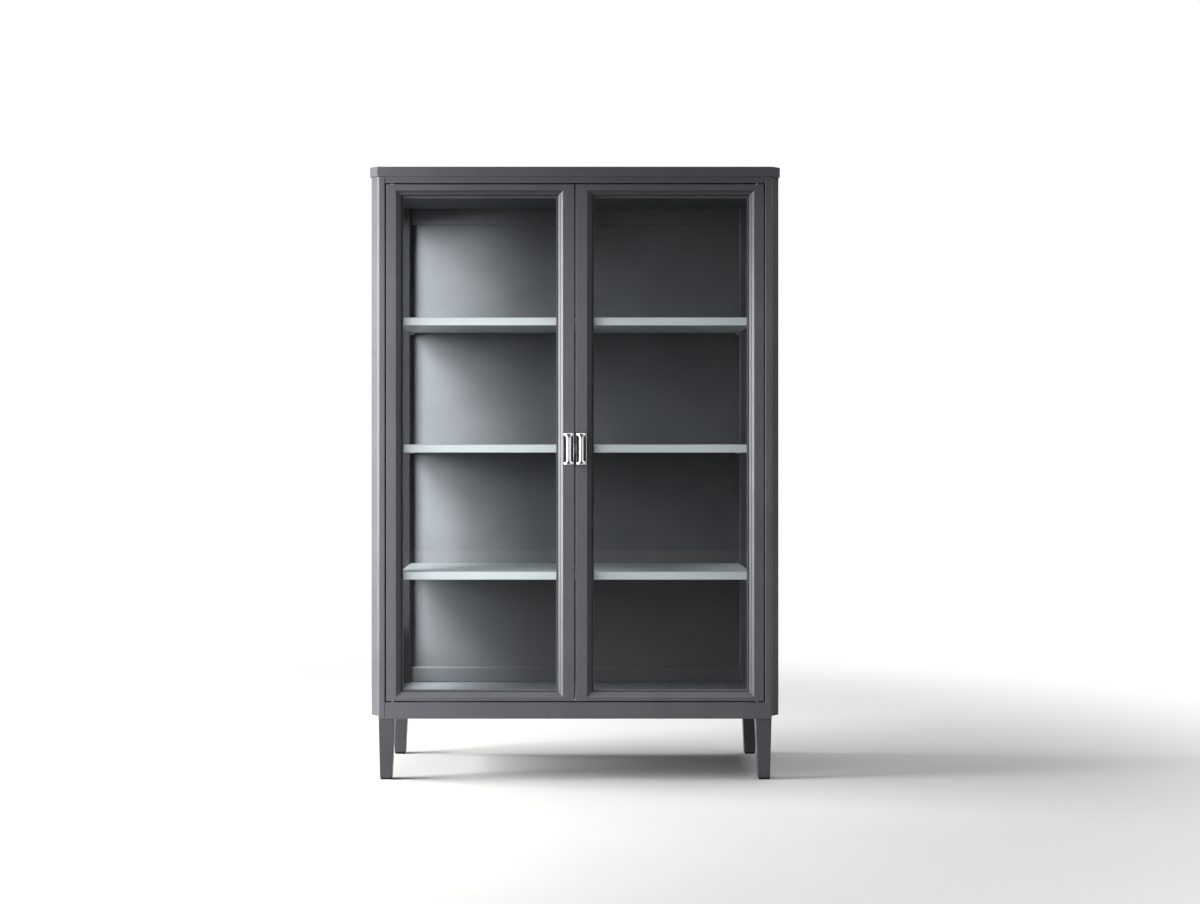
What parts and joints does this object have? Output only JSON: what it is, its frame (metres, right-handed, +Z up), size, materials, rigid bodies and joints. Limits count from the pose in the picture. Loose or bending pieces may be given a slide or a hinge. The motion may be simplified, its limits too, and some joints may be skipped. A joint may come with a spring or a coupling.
{
  "type": "glazed display cabinet",
  "caption": "Tall display cabinet with a pair of framed glass doors, glazed sides, a chamfered top slab, thick shelves on pins and tapered legs with foot glides.",
  "frame": {"origin": "on the floor, under the middle of the outside box, handles included", "axes": "+X to the right as seen from the front, +Y from the doors to the back panel, +Z up"},
  "size_m": [1.006, 0.4244, 1.5],
  "materials": {
    "graphite_lacquer": "satin graphite lacquer",
    "pale_lacquer": "satin pale grey lacquer",
    "clear_glass": "clear float glass",
    "chrome_plate": "polished",
    "bright_steel": "turned",
    "black_nylon": "moulded"
  },
  "bodies": {
    "carcase": {"back_bottom_rail": "graphite_lacquer", "back_panel": "graphite_lacquer", "back_top_rail": "graphite_lacquer", "ceiling_panel": "graphite_lacquer", "floor_panel": "graphite_lacquer", "front_bottom_rail": "graphite_lacquer", "front_left_glide": "black_nylon", "front_left_leg": "graphite_lacquer", "front_left_post": "graphite_lacquer", "front_right_glide": "black_nylon", "front_right_leg": "graphite_lacquer", "front_right_post": "graphite_lacquer", "front_top_rail": "graphite_lacquer", "left_door_bottom_pivot": "bright_steel", "left_door_top_pivot": "bright_steel", "left_side_bottom_rail": "graphite_lacquer", "left_side_glass": "clear_glass", "left_side_top_rail": "graphite_lacquer", "lower_shelf": "pale_lacquer", "lower_shelf_pin_front_left": "bright_steel", "lower_shelf_pin_front_right": "bright_steel", "lower_shelf_pin_rear_left": "bright_steel", "lower_shelf_pin_rear_right": "bright_steel", "magnetic_catch": "black_nylon", "middle_shelf": "pale_lacquer", "middle_shelf_pin_front_left": "bright_steel", "middle_shelf_pin_front_right": "bright_steel", "middle_shelf_pin_rear_left": "bright_steel", "middle_shelf_pin_rear_right": "bright_steel", "rear_left_glide": "black_nylon", "rear_left_leg": "graphite_lacquer", "rear_left_post": "graphite_lacquer", "rear_right_glide": "black_nylon", "rear_right_leg": "graphite_lacquer", "rear_right_post": "graphite_lacquer", "right_door_bottom_pivot": "bright_steel", "right_door_top_pivot": "bright_steel", "right_side_bottom_rail": "graphite_lacquer", "right_side_glass": "clear_glass", "right_side_top_rail": "graphite_lacquer", "top_slab": "graphite_lacquer", "upper_shelf": "pale_lacquer", "upper_shelf_pin_front_left": "bright_steel", "upper_shelf_pin_front_right": "bright_steel", "upper_shelf_pin_rear_left": "bright_steel", "upper_shelf_pin_rear_right": "bright_steel"},
    "left_door": {"left_door_bottom_rail": "graphite_lacquer", "left_door_glass": "clear_glass", "left_door_hinge_stile": "graphite_lacquer", "left_door_meeting_stile": "graphite_lacquer", "left_door_top_rail": "graphite_lacquer", "left_handle": "chrome_plate", "left_handle_plate": "black_nylon"},
    "right_door": {"right_door_bottom_rail": "graphite_lacquer", "right_door_glass": "clear_glass", "right_door_hinge_stile": "graphite_lacquer", "right_door_meeting_stile": "graphite_lacquer", "right_door_top_rail": "graphite_lacquer", "right_handle": "chrome_plate", "right_handle_plate": "black_nylon"}
  },
  "joints": [
    {"name": "left_door_hinge", "type": "hinge", "parent": "carcase", "child": "left_door", "pos_m": [-0.4461, -0.17625, 0.193], "axis": [0, 0, -1], "range_deg": [0, 110]},
    {"name": "right_door_hinge", "type": "hinge", "parent": "carcase", "child": "right_door", "pos_m": [0.4461, -0.17625, 0.193], "axis": [0, 0, 1], "range_deg": [0, 110]}
  ]
}
